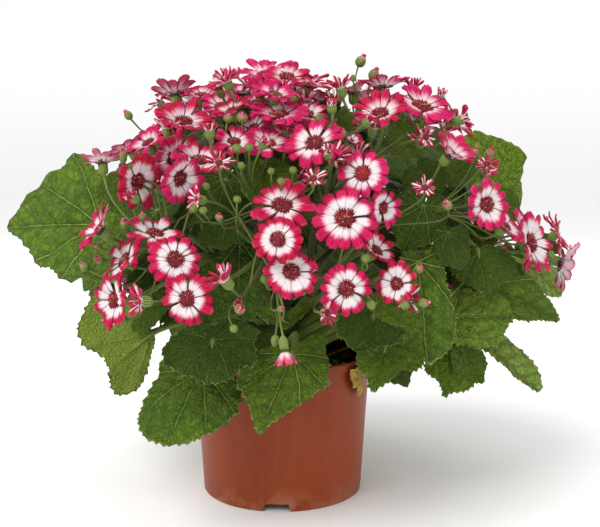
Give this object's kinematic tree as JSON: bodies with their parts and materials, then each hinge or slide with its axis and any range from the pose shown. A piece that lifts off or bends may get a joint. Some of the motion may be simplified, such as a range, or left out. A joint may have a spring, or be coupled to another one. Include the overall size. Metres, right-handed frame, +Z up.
{
  "type": "florist cineraria in a pot",
  "caption": "Potted florist cineraria: a broad dome of carmine and white daisy heads over large toothed leaves, in a plain round terracotta-coloured nursery pot.",
  "frame": {"origin": "on the pot's axis, at the plane that the foot ring stands on", "axes": "+Z up along the pot's axis, +X to the right along the plant's widest spread, -Y towards the fuller front side"},
  "size_m": [0.4173, 0.3689, 0.3092],
  "materials": {
    "pot_plastic": "satin moulded terracotta-coloured plastic, faint mould marks",
    "potting_mix": "loose dark peat with bark and pale specks, matt",
    "green_stem": "fresh green stems, finely ribbed, satin",
    "leaf": "green leaf, satin above with pale veins and a pale toothed edge, paler and matt below",
    "withered_leaf": "dry yellow-brown shrivelled leaf, matt",
    "petal": "carmine ray florets with a white inner half and a maroon disc, velvety satin",
    "disc": "granular maroon disc florets, matt",
    "involucre": "ribbed green cup under each head and round each bud, satin"
  },
  "bodies": {
    "root": {"corymb_1": "green_stem", "corymb_2": "green_stem", "corymb_3": "green_stem", "corymb_4": "green_stem", "corymb_5": "green_stem", "corymb_6": "green_stem", "corymb_7": "green_stem", "corymb_8": "green_stem", "crown": "green_stem", "flower_back_01": "petal", "flower_back_02": "petal", "flower_back_03": "petal", "flower_back_04": "petal", "flower_back_05": "petal", "flower_back_06": "petal", "flower_front_01": "petal", "flower_front_02": "petal", "flower_front_03": "petal", "flower_front_04": "petal", "flower_front_05": "petal", "flower_front_06": "petal", "flower_front_07": "petal", "flower_front_08": "petal", "flower_front_09": "petal", "flower_front_10": "petal", "flower_front_11": "petal", "flower_front_12": "petal", "flower_front_13": "petal", "flower_front_14": "petal", "flower_front_15": "petal", "flower_front_16": "petal", "leaf_back_1": "leaf", "leaf_back_10": "leaf", "leaf_back_11": "leaf", "leaf_back_2": "leaf", "leaf_back_3": "leaf", "leaf_back_4": "leaf", "leaf_back_5": "leaf", "leaf_back_6": "leaf", "leaf_back_7": "leaf", "leaf_back_8": "leaf", "leaf_back_9": "leaf", "leaf_bottom_left": "leaf", "leaf_centre_left": "leaf", "leaf_inner_dark": "leaf", "leaf_left_big": "leaf", "leaf_left_pale": "leaf", "leaf_lower_right": "leaf", "leaf_mid_dark": "leaf", "leaf_over_pot": "leaf", "leaf_right_centre": "leaf", "leaf_right_dark": "leaf", "leaf_right_edge": "leaf", "leaf_right_large": "leaf", "leaf_right_mid": "leaf", "leaf_right_pale": "leaf", "leaf_right_point": "leaf", "leaf_withered": "withered_leaf", "pot": "pot_plastic", "potting_mix": "potting_mix"}
  },
  "joints": []
}
